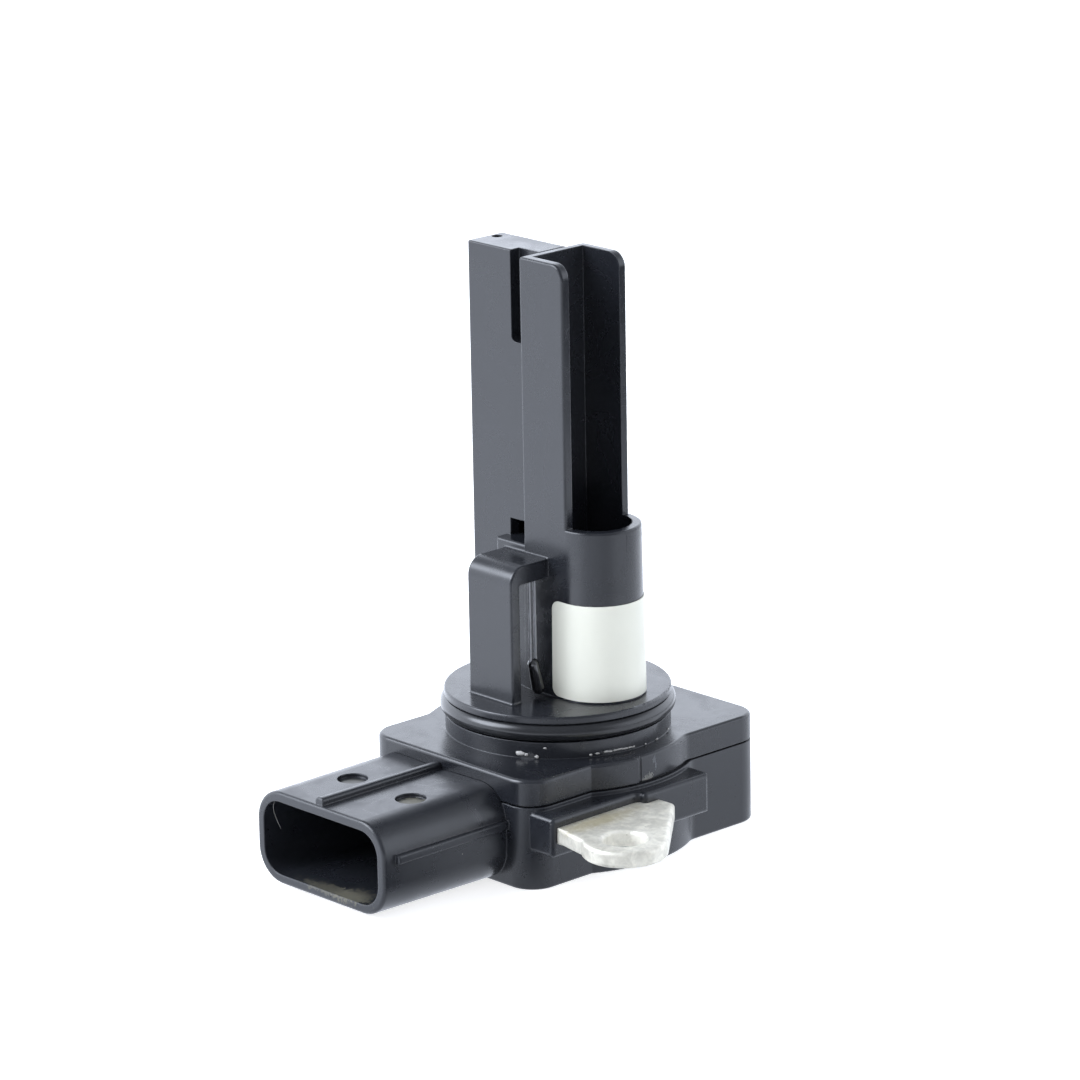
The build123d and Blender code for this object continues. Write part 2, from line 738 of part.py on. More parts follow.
def row_of_chips(x, low_y, pitch, count, length, width, height):
    chips = []
    for n in range(count):
        y = low_y + n * pitch
        chips.append(block((x - length / 2, x + length / 2), (y - width / 2, y + width / 2),
                           (board_bottom_z - height, board_bottom_z)))
    return chips


def chip_capacitors():
    low_y = -(capacitor_count - 1) * capacitor_pitch / 2
    return row_of_chips(board_left_x + capacitor_from_end, low_y, capacitor_pitch, capacitor_count,
                        capacitor_length, capacitor_width, capacitor_height)


def chip_resistors():
    low_y = -board_half_width + resistor_from_side
    return row_of_chips(board_left_x + resistor_from_end, low_y, resistor_pitch, resistor_count,
                        resistor_length, resistor_width, resistor_height)


def bond_ribbon(n):
    """Arched ribbon from a terminal's inner end to the board."""
    y = shroud_centre_y + (n - (terminal_count - 1) / 2) * terminal_pitch
    foot_x = -connector_wall_x + chamber_wall + terminal_inner_length
    foot_z = terminal_foot_z - terminal_thickness / 2
    arch_z = foot_z - ribbon_rise
    outline = Polyline(
        (foot_x - ribbon_foot, foot_z), (foot_x - ribbon_foot, arch_z),
        (board_left_x + ribbon_foot, arch_z), (board_left_x + ribbon_foot, board_bottom_z),
        (board_left_x + ribbon_foot - ribbon_thickness, board_bottom_z),
        (board_left_x + ribbon_foot - ribbon_thickness, arch_z + ribbon_thickness),
        (foot_x - ribbon_foot + ribbon_thickness, arch_z + ribbon_thickness),
        (foot_x - ribbon_foot + ribbon_thickness, foot_z), close=True)
    side = Plane(origin=(0, y + ribbon_width / 2, 0), x_dir=(1, 0, 0), z_dir=(0, -1, 0))
    return extrude(side * make_face(outline), amount=ribbon_width)


def bond_ribbons():
    return [bond_ribbon(n) for n in range(terminal_count)]


def gel_fill():
    """Soft gel that covers the board and everything on it."""
    body = prism(chamber_plan(chamber_wall, chamber_corner_radius), plate_bottom_z - gel_depth, plate_bottom_z)
    board = block((board_left_x, board_right_x), (-board_half_width, board_half_width),
                  (board_bottom_z, plate_bottom_z))
    body = body - board - control_chip() - element_carrier()
    for piece in chip_capacitors() + chip_resistors() + bond_ribbons() + [pin(1), pin(2)]:
        body = body - piece
    for n in range(terminal_count):
        body = body - terminal(n)
    return body


def label():
    """Thin sticker wrapped round the cup, with rounded corners."""
    high_z = label_low_z + label_height
    wrap = drafted(label_low_z, high_z, grow=label_thickness) - drafted(label_low_z, high_z)
    depth = 2 * channel_half + label_thickness
    face = Plane(origin=(channel_near_x - 1, label_end_y - depth / 2, label_low_z + label_height / 2),
                 x_dir=(0, 1, 0), z_dir=(1, 0, 0))
    blank = extrude(face * RectangleRounded(depth, label_height, label_corner_radius),
                    amount=2 * channel_half + 2)
    return wrap & blank


def save(name, shapes):
    if not isinstance(shapes, list):
        shapes = [shapes]
    solids = [solid for shape in shapes for solid in shape.solids()]
    piece = solids[0] if len(solids) == 1 else Compound(children=solids)
    piece.label = name
    export_step(piece, os.path.join("parts", name + ".step"))


pieces = {
    "connector_housing": connector_housing,
    "probe_body": probe_body,
    "bypass_cover": bypass_cover,
    "housing_cover": housing_cover,
    "flange_seal": flange_seal,
    "cover_seal": cover_seal,
    "plug_o_ring": plug_o_ring,
    "mounting_plate": mounting_plate,
    "circuit_board": circuit_board,
    "control_chip": control_chip,
    "chip_capacitors": chip_capacitors,
    "chip_resistors": chip_resistors,
    "bond_ribbons": bond_ribbons,
    "gel_fill": gel_fill,
    "element_carrier": element_carrier,
    "flow_element": flow_element,
    "thermistor_bead": thermistor_bead,
    "label": label,
}

os.makedirs("parts", exist_ok=True)
for name, make in pieces.items():
    save(name, make())
for n in range(terminal_count):
    save("terminal_%d" % (n + 1), terminal(n))
for n in (1, 2):
    save("thermistor_lead_%d" % n, lead(n, lead_radius))
    save("thermistor_pin_%d" % n, pin(n))
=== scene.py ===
# %% [markdown]
# # A slot-in mass airflow sensor
# The sensor is a black moulding with a tall open probe, a round sealed plug, a flat base with
# two pale metal ears, and a connector on one side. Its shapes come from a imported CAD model.
# This script gives them their light, their finishes and the fine detail, one step at a time.
# Lengths are in metres unless a name or a comment says millimetres.

import math

import bpy
import numpy as np
from mathutils import Matrix, Vector


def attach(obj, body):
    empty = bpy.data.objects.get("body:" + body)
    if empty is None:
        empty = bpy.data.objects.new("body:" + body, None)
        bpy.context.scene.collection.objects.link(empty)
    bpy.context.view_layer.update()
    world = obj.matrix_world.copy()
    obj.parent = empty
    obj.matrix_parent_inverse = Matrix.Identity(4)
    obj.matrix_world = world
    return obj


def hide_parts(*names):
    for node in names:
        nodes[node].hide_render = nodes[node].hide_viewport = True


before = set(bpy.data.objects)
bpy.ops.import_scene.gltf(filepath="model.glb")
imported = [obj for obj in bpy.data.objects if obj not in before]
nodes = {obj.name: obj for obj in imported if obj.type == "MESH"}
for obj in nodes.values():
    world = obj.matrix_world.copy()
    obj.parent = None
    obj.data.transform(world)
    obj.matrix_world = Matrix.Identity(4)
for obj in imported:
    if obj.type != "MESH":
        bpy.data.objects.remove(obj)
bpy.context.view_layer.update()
print("nodes:", len(nodes))

# %% [markdown]
# ## The camera
# The photograph was taken from about 70 cm with a long lens, a little above the base. A camera
# could be given a matrix straight away. It is easier to read when it is set as a photographer
# would: a point to aim at, a compass angle, a height angle and a distance. The small roll of
# one degree is the photographer's own.

# %% Camera
MM = 0.001
PICTURE_SIDE = 1080
FOCAL_PIXELS = 5239.0
SENSOR_WIDTH = 36.0
NEAREST_SEEN = 0.01
AIM = Vector((-1.449, 1.347, 25.05)) * MM
CAMERA_AZIMUTH = math.radians(-42.91)
CAMERA_HEIGHT_ANGLE = math.radians(16.27)
CAMERA_ROLL = math.radians(-1.006)
CAMERA_DISTANCE = 680.1 * MM


def make_camera():
    """Place the camera back from the aim point, level it, then roll it about its own axis."""
    a, e, r = CAMERA_AZIMUTH, CAMERA_HEIGHT_ANGLE, CAMERA_ROLL
    back = Vector((math.sin(a) * math.cos(e), -math.cos(a) * math.cos(e), math.sin(e)))
    level_right = Vector((math.cos(a), math.sin(a), 0.0))
    level_up = back.cross(level_right)
    right = math.cos(r) * level_right + math.sin(r) * level_up
    up = -math.sin(r) * level_right + math.cos(r) * level_up
    data = bpy.data.cameras.new("camera")
    data.sensor_width = SENSOR_WIDTH
    data.lens = FOCAL_PIXELS / PICTURE_SIDE * SENSOR_WIDTH
    data.clip_start = NEAREST_SEEN
    camera = bpy.data.objects.new("camera", data)
    turn = Matrix((right, up, back)).transposed().to_4x4()
    camera.matrix_world = Matrix.Translation(AIM + back * CAMERA_DISTANCE) @ turn
    bpy.context.scene.collection.objects.link(camera)
    bpy.context.scene.camera = camera
    return camera


camera = make_camera()
print("lens: %.1f mm" % camera.data.lens)

# %% [markdown]
# ## Helpers for node trees
# A material in Blender is a small graph. Written out in full, each node takes several lines, and
# the idea gets lost. These helpers keep each step of a graph on one line: add a node, do a sum,
# fade between two limits, blend two colours.

# %% Helpers: nodes and links


def add_node(tree, kind, inputs=None, **settings):
    """Add one shader node; inputs maps a socket (name or index) to a value or to a socket."""
    made = tree.nodes.new("ShaderNode" + kind)
    for name, value in settings.items():
        setattr(made, name, value)
    for name, value in (inputs or {}).items():
        feed(tree, made.inputs[name], value)
    return made


def feed(tree, socket, value):
    """Link a socket to another one, or give it a plain value."""
    if isinstance(value, bpy.types.NodeSocket):
        tree.links.new(value, socket)
    else:
        socket.default_value = value


def new_material(name):
    """A material with an empty tree but for its Principled shader and its output."""
    material = bpy.data.materials.new(name)
    material.use_nodes = True
    tree = material.node_tree
    tree.nodes.clear()
    output = tree.nodes.new("ShaderNodeOutputMaterial")
    shader = tree.nodes.new("ShaderNodeBsdfPrincipled")
    tree.links.new(shader.outputs["BSDF"], output.inputs["Surface"])
    return material, tree, shader


print("helpers for nodes ready")

# %% Helpers: sums, fades and blends


def maths(tree, operation, *values, clamp=False):
    """One Math node: the operation on one, two or three values or sockets."""
    made = tree.nodes.new("ShaderNodeMath")
    made.operation = operation
    made.use_clamp = clamp
    for index, value in enumerate(values):
        feed(tree, made.inputs[index], value)
    return made.outputs["Value"]


def times(tree, first, second):
    """The product of two values or sockets."""
    return maths(tree, "MULTIPLY", first, second)


def vector_maths(tree, operation, *values, out="Vector"):
    """One Vector Math node on vectors or sockets."""
    made = tree.nodes.new("ShaderNodeVectorMath")
    made.operation = operation
    for index, value in enumerate(values):
        feed(tree, made.inputs[index], value)
    return made.outputs[out]


def fade(tree, value, start, end, low=0.0, high=1.0):
    """A soft step: low before start, high after end, and a smooth rise between them."""
    made = add_node(tree, "MapRange", interpolation_type="SMOOTHSTEP")
    for index, number in enumerate((value, start, end, low, high)):
        feed(tree, made.inputs[index], number)
    return made.outputs["Result"]


def blend_colours(tree, factor, first, second):
    """Blend two colours by a factor from 0 to 1."""
    made = tree.nodes.new("ShaderNodeMix")
    made.data_type = "RGBA"
    for index, value in ((0, factor), (6, first), (7, second)):
        feed(tree, made.inputs[index], value)
    return made.outputs[2]


def lay_over(tree, shade, mask, strength, colour):
    """Lay a colour over a shade where a mask is, at a strength from 0 to 1."""
    return blend_colours(tree, times(tree, mask, strength), shade, hold_colour(colour))


def hold_colour(colour):
    """A colour with its alpha of one."""
    return (*colour, 1.0)


def noise(tree, place, scale, detail=2.0, roughness=0.5, distortion=0.0):
    """Cloudy noise from 0 to 1; scale is in cycles per metre."""
    made = add_node(tree, "TexNoise", {"Vector": place, "Scale": scale, "Detail": detail,
                                       "Roughness": roughness, "Distortion": distortion})
    return made.outputs["Fac"]


def relief(tree, height, strength, distance, normal, invert=False):
    """Bend a normal as if the height, from 0 to 1, stood up by the given distance."""
    made = add_node(tree, "Bump", {"Strength": strength, "Distance": distance, "Height": height,
                                   "Normal": normal}, invert=invert)
    return made.outputs["Normal"]


print("helpers for sums ready")

# %% [markdown]
# ## The studio
# Black plastic has hardly any colour of its own. What the photograph shows on it is what it
# mirrors: a white sweep on the left, at the back and on the right, and a dim room behind the
# camera. White cards round the object would do it, but they would show in the other views. A
# world costs nothing and is never in the way, so the light comes from a world that is bright on
# three sides. One soft box high on the left draws the highlight along the O-ring. A camera ray
# sees plain white instead, because the picture's background is white.

# %% World
TO_CAMERA = Vector((math.sin(CAMERA_AZIMUTH), -math.cos(CAMERA_AZIMUTH), 0.0))
TO_RIGHT = Vector((math.cos(CAMERA_AZIMUTH), math.sin(CAMERA_AZIMUTH), 0.0))
SWEEP_LEFT, SWEEP_RIGHT, SWEEP_TURN = 2.6, 2.25, 0.6
ROOM_LEVEL, ROOM_FADE = 0.45, (0.25, 0.75)
OVERHEAD_LEVEL, OVERHEAD_FADE = 0.5, (0.42, 0.8)
SOFTBOX_WAY = Vector((-0.65, 0.45, 0.61)).normalized()
SOFTBOX_LEVEL, SOFTBOX_FADE = 9.0, (0.91, 0.97)
COOL_WHITE = (0.925, 0.985, 1.105, 1.0)
WHITE = (1.0, 1.0, 1.0, 1.0)


def make_world():
    """Level = (1 - up) * sides + up * overhead + soft box. Sides go from the sweep's level to the
    room's as the direction turns to the camera; up rises with the direction's height."""
    world = bpy.data.worlds.new("studio")
    bpy.context.scene.world = world
    world.use_nodes = True
    tree = world.node_tree
    tree.nodes.clear()
    way = add_node(tree, "TexCoord").outputs["Generated"]
    to_camera = vector_maths(tree, "DOT_PRODUCT", way, TO_CAMERA, out="Value")
    to_right = vector_maths(tree, "DOT_PRODUCT", way, TO_RIGHT, out="Value")
    to_softbox = vector_maths(tree, "DOT_PRODUCT", way, SOFTBOX_WAY, out="Value")
    height = add_node(tree, "SeparateXYZ", {"Vector": way}).outputs["Z"]
    sweep = fade(tree, to_right, -SWEEP_TURN, SWEEP_TURN, SWEEP_LEFT, SWEEP_RIGHT)
    sides = fade(tree, to_camera, *ROOM_FADE, sweep, ROOM_LEVEL)
    up = fade(tree, height, *OVERHEAD_FADE)
    low = times(tree, maths(tree, "SUBTRACT", 1.0, up), sides)
    level = maths(tree, "ADD", times(tree, up, OVERHEAD_LEVEL), low)
    softbox = fade(tree, to_softbox, *SOFTBOX_FADE)
    level = maths(tree, "ADD", level, times(tree, softbox, SOFTBOX_LEVEL))
    sees = add_node(tree, "LightPath").outputs["Is Camera Ray"]
    unseen = times(tree, maths(tree, "SUBTRACT", 1.0, sees), level)
    background = add_node(tree, "Background", {"Color": blend_colours(tree, sees, COOL_WHITE, WHITE),
                                               "Strength": maths(tree, "ADD", unseen, sees)})
    output = add_node(tree, "OutputWorld")
    tree.links.new(background.outputs["Background"], output.inputs["Surface"])
    return world


print("world:", make_world().name)

# %% [markdown]
# ## The floor
# The floor is a wide flat sheet under the sensor. The camera sees it white, with a faint shadow of the
# sensor. The plastic's lower faces mirror it, and for those mirror rays the sheet glows with a painted
# table: a painted shadow that is dim close to the sensor and dark in the nook beside the connector, bright
# further out, and gone where the table ends on the right. A picture of a table would be tied to one view.
# So the same sheet gives mirror rays a pattern of soft steps, worked out from the place on the floor.

# %% Floor sheet
FLOOR_Z = -14.76 * MM
FLOOR_RADIUS = 3.0
FLOOR_GREY = (0.8, 0.8, 0.8, 1.0)
FLOOR_ROUGHNESS = 0.7
FLOOR_SEEN_GLOW = 0.72


def make_floor():
    """A flat square, far larger than the view."""
    square = np.array([(-1.0, -1.0), (1.0, -1.0), (1.0, 1.0), (-1.0, 1.0)]) * FLOOR_RADIUS
    mesh = bpy.data.meshes.new("floor")
    mesh.from_pydata([(x, y, FLOOR_Z) for x, y in square.tolist()], [], [(0, 1, 2, 3)])
    floor = bpy.data.objects.new("floor", mesh)
    bpy.context.scene.collection.objects.link(floor)
    return floor


floor = make_floor()
print("floor:", len(floor.data.vertices), "corners")

# %% Floor material
TABLE_LEFT, TABLE_RIGHT, TABLE_TURN = 2.5, 1.95, 0.06
TABLE_END, TABLE_END_SHARE = (0.16, 0.26), 0.08
FRONT_FADE, FRONT_SHARE = (0.6, 0.95), 0.62
# The nook and near steps are painted shadow of the sensor on the mirrored table.
NOOK_SHADOW_CENTRE, NOOK_SHADOW_FADE, NOOK_SHADOW_SHARE = (-0.033, -0.030, 0.0), (0.006, 0.020), 0.05
NEAR_SHADOW_FADE, NEAR_SHADOW_SHARE = (0.035, 0.10), 0.7
FLAT = (1.0, 1.0, 0.0)


def table_and_shadow_level(tree, place):
    """The mirrored table's brightness: a level from left to right, times one soft step each for the
    table's end and the part towards the camera, and times two painted shadows, one in the nook beside the
    connector and one in the space close to the sensor."""
    right = vector_maths(tree, "DOT_PRODUCT", place, TO_RIGHT, out="Value")
    front = vector_maths(tree, "DOT_PRODUCT", place, TO_CAMERA, out="Value")
    distance = vector_maths(tree, "LENGTH", place, out="Value")
    flat_place = vector_maths(tree, "MULTIPLY", place, FLAT)
    nook = vector_maths(tree, "DISTANCE", flat_place, NOOK_SHADOW_CENTRE, out="Value")
    toward = maths(tree, "DIVIDE", front, distance)
    level = fade(tree, right, -TABLE_TURN, TABLE_TURN, TABLE_LEFT, TABLE_RIGHT)
    level = times(tree, level, fade(tree, right, *TABLE_END, 1.0, TABLE_END_SHARE))
    level = times(tree, level, fade(tree, toward, *FRONT_FADE, 1.0, FRONT_SHARE))
    level = times(tree, level, fade(tree, nook, *NOOK_SHADOW_FADE, NOOK_SHADOW_SHARE, 1.0))
    return times(tree, level, fade(tree, distance, *NEAR_SHADOW_FADE, NEAR_SHADOW_SHARE, 1.0))


def floor_finish():
    """White for the camera; for mirror rays a glowing table pattern with the sensor's shadow painted into
    it; clear from below.
    """
    material, tree, shader = new_material("floor_white")
    output = shader.outputs["BSDF"].links[0].to_node
    place = add_node(tree, "TexCoord").outputs["Object"]
    path = add_node(tree, "LightPath").outputs
    shader.inputs["Base Color"].default_value = FLOOR_GREY
    shader.inputs["Roughness"].default_value = FLOOR_ROUGHNESS
    shader.inputs["Specular IOR Level"].default_value = 0.0
    shader.inputs["Emission Color"].default_value = WHITE
    feed(tree, shader.inputs["Emission Strength"], times(tree, path["Is Camera Ray"], FLOOR_SEEN_GLOW))
    mirrored = add_node(tree, "Emission", {"Color": COOL_WHITE, "Strength": table_and_shadow_level(tree, place)})
    choose = add_node(tree, "MixShader", {0: path["Is Glossy Ray"], 1: shader.outputs["BSDF"],
                                          2: mirrored.outputs["Emission"]})
    under = add_node(tree, "NewGeometry").outputs["Backfacing"]
    clear = add_node(tree, "BsdfTransparent")
    through = add_node(tree, "MixShader", {0: under, 1: choose.outputs[0], 2: clear.outputs["BSDF"]})
    tree.links.new(through.outputs[0], output.inputs["Surface"])
    material.cycles.emission_sampling = "NONE"
    return material


floor.data.materials.append(floor_finish())
print("floor material:", floor.data.materials[0].name)

# %% [markdown]
# ## The soft lamp
# The sticker and the metal ears are pale and matt, so they need light that falls on them, not
# something to mirror. One large soft lamp above the camera fills them. It is kept out of
# reflections, so that the black plastic still mirrors only the studio.

# %% Light
LAMP_PLACE = (-470, -400, 330)
LAMP_TARGET = (0, 0, 15)
LAMP_SIDE = 400
LAMP_ENERGY = 0.6


def area_light(name, place, target, side, energy):
    """A square lamp at one place that points at a target, all in millimetres."""
    data = bpy.data.lights.new(name, "AREA")
    data.shape = "RECTANGLE"
    data.size = data.size_y = side * MM
    data.energy = energy
    lamp = bpy.data.objects.new(name, data)
    place = Vector(place) * MM
    aim = (Vector(target) * MM - place).normalized()
    lamp.matrix_world = Matrix.Translation(place) @ aim.to_track_quat("-Z", "Y").to_matrix().to_4x4()
    lamp.visible_glossy = False
    bpy.context.scene.collection.objects.link(lamp)
    return lamp


fill = area_light("fill", LAMP_PLACE, LAMP_TARGET, LAMP_SIDE, LAMP_ENERGY)
print("lamp: %.2f m away" % fill.location.length)

# %% [markdown]
# ## Shared surface effects
# The same effects turn up on many finishes, so each is a node group: it is built once, has
# named inputs and outputs, and sits in each material with its own values. The groups give out
# only masks, values and normals. The shader stays in the material, where the export reads it.

# %% Helpers: node groups


def new_group(name, inputs, outputs):
    """Open a node group: inputs are (name, kind, start value), outputs are (name, kind)."""
    tree = bpy.data.node_groups.new(name, "ShaderNodeTree")
    for title, kind, start in inputs:
        socket = tree.interface.new_socket(title, in_out="INPUT", socket_type="NodeSocket" + kind)
        socket.default_value = start
    for title, kind in outputs:
        tree.interface.new_socket(title, in_out="OUTPUT", socket_type="NodeSocket" + kind)
    entry = tree.nodes.new("NodeGroupInput")
    leave = tree.nodes.new("NodeGroupOutput")
    return tree, entry.outputs, leave.inputs


def use_group(tree, group, inputs=None):
    """Place a group in a material with its own values, and give back its outputs."""
    made = tree.nodes.new("ShaderNodeGroup")
    made.node_tree = group
    for name, value in (inputs or {}).items():
        feed(tree, made.inputs[name], value)
    return made.outputs


print("helpers for groups ready")

# %% [markdown]
# ### Soft edges
# No moulded or stamped edge is a knife edge: a tiny rounding catches the light. Real fillets on
# every edge would make the CAD heavy. The Bevel node bends only the normal near an edge, over a
# given radius. Where it bends the normal, the surface is also an edge that hands rub, so the
# group gives out that mask too.

# %% Soft edges
BEVEL_SAMPLES = 6
EDGE_FADE = (0.99, 0.85)


def make_soft_edges():
    """Normal: the surface rounded over Radius. Edge: 0 where that normal still agrees with the
    true one, and 1 where the cosine between them falls to the fade's end."""
    tree, entry, leave = new_group("soft_edges", [("Radius", "Float", 0.0002)],
                                   [("Normal", "Vector"), ("Edge", "Float")])
    bevel = add_node(tree, "Bevel", {"Radius": entry["Radius"]}, samples=BEVEL_SAMPLES)
    rounded = bevel.outputs["Normal"]
    true = add_node(tree, "NewGeometry").outputs["Normal"]
    match = vector_maths(tree, "DOT_PRODUCT", rounded, true, out="Value")
    feed(tree, leave["Normal"], rounded)
    feed(tree, leave["Edge"], fade(tree, match, *EDGE_FADE))
    return tree


soft_edges = make_soft_edges()
print("group:", soft_edges.name)

# %% [markdown]
# ### Grain
# Moulded plastic is never even. Its colour and gloss drift in slow clouds, where the melt flowed
# and where it was handled, and the steel mould leaves a fine spark texture. Noise at two sizes
# gives both. The gloss clouds are read at a shifted place, so that they don't follow the colour.

# %% Grain of moulded plastic
GLOSS_SHIFT = (0.37, 0.11, 0.53)
TONE_CLOUDS = {"detail": 4.0, "roughness": 0.6, "distortion": 0.4}
GLOSS_CLOUDS = {"detail": 6.0, "roughness": 0.7, "distortion": 0.8}
SPARK_TEXTURE = {"detail": 3.0, "roughness": 0.6}


def make_moulded_grain():
    """Tone and Gloss: slow clouds from 0 to 1. Height: the mould's fine spark texture."""
    tree, entry, leave = new_group("moulded_grain", [("Cloud size", "Float", 0.006),
                                                     ("Grain size", "Float", 0.00016)],
                                   [("Tone", "Float"), ("Gloss", "Float"), ("Height", "Float")])
    place = add_node(tree, "TexCoord").outputs["Object"]
    clouds = maths(tree, "DIVIDE", 1.0, entry["Cloud size"])
    grains = maths(tree, "DIVIDE", 1.0, entry["Grain size"])
    moved = vector_maths(tree, "ADD", place, GLOSS_SHIFT)
    feed(tree, leave["Tone"], noise(tree, place, clouds, **TONE_CLOUDS))
    feed(tree, leave["Gloss"], noise(tree, moved, clouds, **GLOSS_CLOUDS))
    feed(tree, leave["Height"], noise(tree, place, grains, **SPARK_TEXTURE))
    return tree


moulded_grain = make_moulded_grain()
print("group:", moulded_grain.name)

# %% [markdown]
# ### Specks and marks
# Dust lies in single specks. A grid of random cells has one point in each, so a small disc round that
# point is a speck, and a random draw for each cell leaves most cells empty. Scuffs, stains and deposits
# lie in one place, and so do a few painted shades and highlights. Each is an oval whose outline is broken
# by noise. Painting them into an image would need UV maps; these need only a centre and a size.

# %% Specks and marks
SPECK_SMALLEST = 0.5
SPECK_FADE = (0.7, 1.1)
MARK_REACH = 1.8
MARK_OUTER = 1.05
MARK_NOISE = {"detail": 4.0, "roughness": 0.65}


def make_specks():
    """Mask: round specks in a random Share of the cells of a grid. A speck's radius is Radius
    times a random number from a half to one and a half."""
    tree, entry, leave = new_group("specks", [("Cell", "Float", 0.0015), ("Radius", "Float", 0.00008),
                                              ("Share", "Float", 0.06)], [("Mask", "Float")])
    place = add_node(tree, "TexCoord").outputs["Object"]
    cells = maths(tree, "DIVIDE", 1.0, entry["Cell"])
    voronoi = add_node(tree, "TexVoronoi", {"Vector": place, "Scale": cells})
    distance = maths(tree, "DIVIDE", voronoi.outputs["Distance"], cells)
    draw = add_node(tree, "SeparateColor", {"Color": voronoi.outputs["Color"]}).outputs
    radius = times(tree, entry["Radius"], maths(tree, "ADD", SPECK_SMALLEST, draw["Green"]))
    inside = fade(tree, maths(tree, "DIVIDE", distance, radius), *SPECK_FADE, 1.0, 0.0)
    chosen = maths(tree, "LESS_THAN", draw["Red"], entry["Share"])
    feed(tree, leave["Mask"], times(tree, inside, chosen))
    return tree


def make_mark():
    """Mask: 1 inside an oval round Centre and 0 outside it. The distance from the centre, in half
    sizes, gets noise added, so Ragged breaks the outline into crumbs of Detail size."""
    tree, entry, leave = new_group("mark", [("Centre", "Vector", (0.0, 0.0, 0.0)),
                                            ("Half size", "Vector", (0.001, 0.001, 0.001)),
                                            ("Ragged", "Float", 0.6), ("Detail size", "Float", 0.0008),
                                            ("Softness", "Float", 0.3)],
                                   [("Mask", "Float")])
    place = add_node(tree, "TexCoord").outputs["Object"]
    offset = vector_maths(tree, "SUBTRACT", place, entry["Centre"])
    in_half_sizes = vector_maths(tree, "DIVIDE", offset, entry["Half size"])
    share = vector_maths(tree, "LENGTH", in_half_sizes, out="Value")
    cloud = noise(tree, place, maths(tree, "DIVIDE", 1.0, entry["Detail size"]), **MARK_NOISE)
    reach = times(tree, entry["Ragged"], MARK_REACH)
    ragged = times(tree, maths(tree, "SUBTRACT", cloud, 0.5), reach)
    inner = maths(tree, "SUBTRACT", 1.0, entry["Softness"])
    mask = fade(tree, maths(tree, "ADD", share, ragged), inner, MARK_OUTER, 1.0, 0.0)
    feed(tree, leave["Mask"], mask)
    return tree


def place_mark(tree, centre, half, ragged, detail=0.8, softness=0.3):
    """The mask of one mark, with its centre, its half size and its detail in millimetres."""
    return use_group(tree, mark, {"Centre": [part * MM for part in centre],
                                  "Half size": [part * MM for part in half], "Ragged": ragged,
                                  "Detail size": detail * MM, "Softness": softness})["Mask"]


specks = make_specks()
mark = make_mark()
print("groups:", len(bpy.data.node_groups))

# %% [markdown]
# ## Black moulded plastic
# The probe, the connector housing and the covers are filled nylon straight from the mould: near
# black, with a satin face. Its brightness is nearly all reflection, so the gloss does the work.
# Slow clouds go into the roughness, a fine grain into the bump, rubbed edges are slightly paler,
# and a few specks of dust lie on it. A single flat black would look like a hole in the picture.

# %% Black plastic
PLASTIC_GRAIN = {"Cloud size": 0.007, "Grain size": 0.00018}
DUST_SPECKS = {"Cell": 0.0017, "Radius": 0.00007}
DUST_GREY, DUST_STRENGTH = (0.32, 0.31, 0.29), 0.8
TONE_SWING = 0.25
PALE_TIMES, PALE_PLUS, PALE_STRENGTH = 2.2, 0.004, 0.4
GLOSS_FADE, GLOSS_DOWN, GLOSS_UP = (0.3, 0.7), 0.06, 0.07
EDGE_ROUGHER, MARK_ROUGHER, GROOVE_ROUGHER = 0.05, 0.35, 0.6
GROOVE_DEPTH, GROOVE_RAGGED = 0.00012, 0.05
GRAIN_STRENGTH, GRAIN_DEPTH = 0.1, 0.00002
# Black for the painted shade inside the slit's line.
SLIT_SHADE_BLACK = (0.0, 0.0, 0.0, 1.0)


def black_plastic(name, colour, roughness, radius, dust, crumb=0.8, marks=(), shaded_grooves=()):
    """Near-black satin plastic; marks are (centre, half size in mm, colour, strength, ragged), with an
    outline of crumbs of the given size. Shaded grooves are (centre, half size in mm): thin lines painted
    black as painted shade in a hairline slit, which also dent the surface."""
    material, tree, shader = new_material(name)
    edges = use_group(tree, soft_edges, {"Radius": radius * MM})
    grain = use_group(tree, moulded_grain, PLASTIC_GRAIN)
    dusty = use_group(tree, specks, {**DUST_SPECKS, "Share": dust})["Mask"]
    pale = [min(1.0, part * PALE_TIMES + PALE_PLUS) for part in colour]
    shade = blend_colours(tree, grain["Tone"], hold_colour([part * (1 - TONE_SWING) for part in colour]),
                          hold_colour([part * (1 + TONE_SWING) for part in colour]))
    shade = lay_over(tree, shade, edges["Edge"], PALE_STRENGTH, pale)
    rough = fade(tree, grain["Gloss"], *GLOSS_FADE, roughness - GLOSS_DOWN, roughness + GLOSS_UP)
    rough = maths(tree, "ADD", rough, times(tree, edges["Edge"], EDGE_ROUGHER))
    for centre, half, tint, strength, ragged in marks:
        blot = times(tree, place_mark(tree, centre, half, ragged, crumb), strength)
        shade = blend_colours(tree, blot, shade, hold_colour(tint))
        rough = maths(tree, "ADD", rough, times(tree, blot, MARK_ROUGHER), clamp=True)
    shade = lay_over(tree, shade, dusty, DUST_STRENGTH, DUST_GREY)
    normal = edges["Normal"]
    for centre, half in shaded_grooves:
        line = place_mark(tree, centre, half, GROOVE_RAGGED)
        shade = blend_colours(tree, line, shade, SLIT_SHADE_BLACK)
        rough = maths(tree, "ADD", rough, times(tree, line, GROOVE_ROUGHER), clamp=True)
        normal = relief(tree, line, 1.0, GROOVE_DEPTH, normal, invert=True)
    feed(tree, shader.inputs["Base Color"], shade)
    feed(tree, shader.inputs["Roughness"], rough)
    feed(tree, shader.inputs["Normal"], relief(tree, grain["Height"], GRAIN_STRENGTH, GRAIN_DEPTH, normal))
    return material


print("recipe for black plastic ready")
